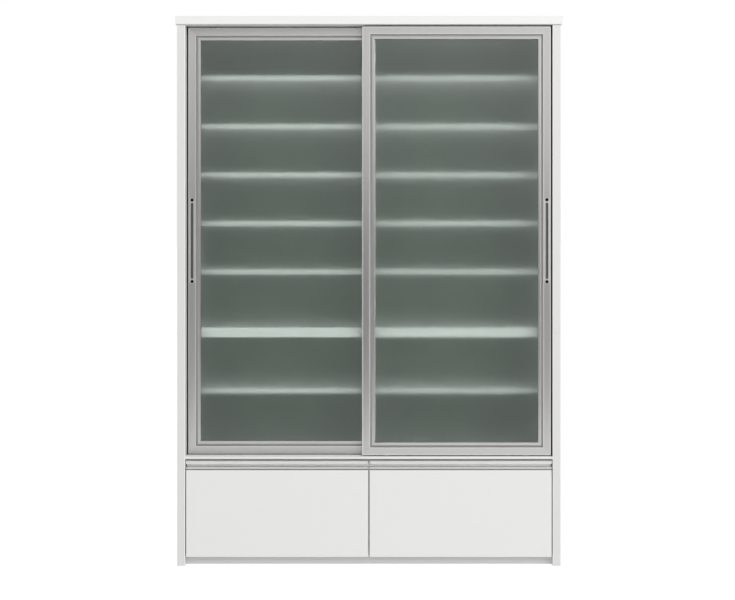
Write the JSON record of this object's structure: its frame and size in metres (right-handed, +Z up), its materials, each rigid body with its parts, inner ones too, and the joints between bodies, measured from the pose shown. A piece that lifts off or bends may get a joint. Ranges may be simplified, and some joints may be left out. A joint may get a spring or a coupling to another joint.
{
  "type": "kitchen cabinet",
  "caption": "Tall white kitchen cupboard in two stacked units, with by-pass sliding doors of frosted glass in aluminium frames over shelves, and a row of drawers below.",
  "frame": {"origin": "on the floor, under the middle of the top board", "axes": "+Z up, the doors and drawers face -Y, +X to the right for someone facing them"},
  "size_m": [1.4, 0.45, 1.99],
  "materials": {
    "white_laminate": "white laminate, satin gloss",
    "white_board": "white foil on thin board, matt",
    "white_plastic": "white moulded plastic",
    "satin_aluminium": "satin anodised",
    "frosted_glass": "acid-etched, slightly green",
    "dark_gasket": "matt black",
    "black_plastic": "satin black",
    "dark_strip": "dark grey with black pile",
    "nylon": "natural nylon",
    "grey_plastic": "grey moulded plastic",
    "steel": "zinc-plated steel",
    "cast_key": "die-cast, as cast"
  },
  "bodies": {
    "root": {"top_board": "white_laminate", "top_track": "white_plastic", "bottom_track": "white_plastic", "upper_left_side": "white_laminate", "upper_right_side": "white_laminate", "upper_divider": "white_laminate", "upper_bottom_panel": "white_laminate", "upper_back_panels": "white_board", "upper_shelves": "white_laminate", "shelf_pins": "steel", "lower_left_side": "white_laminate", "lower_right_side": "white_laminate", "lower_top_panel": "white_laminate", "lower_dividers": "white_laminate", "lower_shelves": "white_laminate", "track_board": "white_laminate", "bottom_panel": "white_laminate", "kick_board": "white_laminate", "lower_back_panels": "white_board", "slide_outer_members": "steel", "jamb_strips": "dark_strip", "floor_glides": "grey_plastic"},
    "front_door": {"front_door_outer_stile": "satin_aluminium", "front_door_inner_stile": "satin_aluminium", "front_door_top_rail": "satin_aluminium", "front_door_bottom_rail": "satin_aluminium", "front_door_corner_keys": "cast_key", "front_door_glass": "frosted_glass", "front_door_gasket": "dark_gasket", "front_door_pull": "satin_aluminium", "front_door_pull_plugs": "black_plastic", "front_door_top_guides": "black_plastic", "front_door_roller_housings": "grey_plastic", "front_door_roller_axles": "steel"},
    "front_door_left_roller": {"front_door_left_wheel": "nylon"},
    "front_door_right_roller": {"front_door_right_wheel": "nylon"},
    "rear_door": {"rear_door_outer_stile": "satin_aluminium", "rear_door_inner_stile": "satin_aluminium", "rear_door_top_rail": "satin_aluminium", "rear_door_bottom_rail": "satin_aluminium", "rear_door_corner_keys": "cast_key", "rear_door_glass": "frosted_glass", "rear_door_gasket": "dark_gasket", "rear_door_pull": "satin_aluminium", "rear_door_pull_plugs": "black_plastic", "rear_door_top_guides": "black_plastic", "rear_door_roller_housings": "grey_plastic", "rear_door_roller_axles": "steel"},
    "rear_door_left_roller": {"rear_door_left_wheel": "nylon"},
    "rear_door_right_roller": {"rear_door_right_wheel": "nylon"},
    "left_drawer": {"left_drawer_front": "white_laminate", "left_drawer_handle": "satin_aluminium", "left_drawer_box": "white_board", "left_drawer_inner_members": "steel"},
    "left_slide_middle": {"left_drawer_middle_members": "steel"},
    "right_drawer": {"right_drawer_front": "white_laminate", "right_drawer_handle": "satin_aluminium", "right_drawer_box": "white_board", "right_drawer_inner_members": "steel"},
    "right_slide_middle": {"right_drawer_middle_members": "steel"}
  },
  "joints": [
    {"name": "front_door_slide", "type": "slide", "parent": "root", "child": "front_door", "axis": [1, 0, 0], "range_m": [-0.635, 0]},
    {"name": "rear_door_slide", "type": "slide", "parent": "root", "child": "rear_door", "axis": [1, 0, 0], "range_m": [0, 0.635]},
    {"name": "front_door_left_roller_spin", "type": "hinge", "parent": "front_door", "child": "front_door_left_roller", "pos_m": [0.065, -0.201, 0.4025], "axis": [0, 1, 0], "range_deg": [-3640, 0]},
    {"name": "front_door_right_roller_spin", "type": "hinge", "parent": "front_door", "child": "front_door_right_roller", "pos_m": [0.57, -0.201, 0.4025], "axis": [0, 1, 0], "range_deg": [-3640, 0]},
    {"name": "rear_door_left_roller_spin", "type": "hinge", "parent": "rear_door", "child": "rear_door_left_roller", "pos_m": [-0.57, -0.173, 0.4025], "axis": [0, 1, 0], "range_deg": [0, 3640]},
    {"name": "rear_door_right_roller_spin", "type": "hinge", "parent": "rear_door", "child": "rear_door_right_roller", "pos_m": [-0.065, -0.173, 0.4025], "axis": [0, 1, 0], "range_deg": [0, 3640]},
    {"name": "left_drawer_slide", "type": "slide", "parent": "root", "child": "left_drawer", "axis": [0, -1, 0], "range_m": [0, 0.35]},
    {"name": "left_slide_extension", "type": "slide", "parent": "root", "child": "left_slide_middle", "axis": [0, -1, 0], "range_m": [0, 0.175]},
    {"name": "right_drawer_slide", "type": "slide", "parent": "root", "child": "right_drawer", "axis": [0, -1, 0], "range_m": [0, 0.35]},
    {"name": "right_slide_extension", "type": "slide", "parent": "root", "child": "right_slide_middle", "axis": [0, -1, 0], "range_m": [0, 0.175]}
  ],
  "couplings": [
    {"joint": "front_door_left_roller_spin", "follows": "front_door_slide", "rad_per_m": 100},
    {"joint": "front_door_right_roller_spin", "follows": "front_door_slide", "rad_per_m": 100},
    {"joint": "rear_door_left_roller_spin", "follows": "rear_door_slide", "rad_per_m": 100},
    {"joint": "rear_door_right_roller_spin", "follows": "rear_door_slide", "rad_per_m": 100},
    {"joint": "left_slide_extension", "follows": "left_drawer_slide", "ratio": 0.5},
    {"joint": "right_slide_extension", "follows": "right_drawer_slide", "ratio": 0.5}
  ]
}
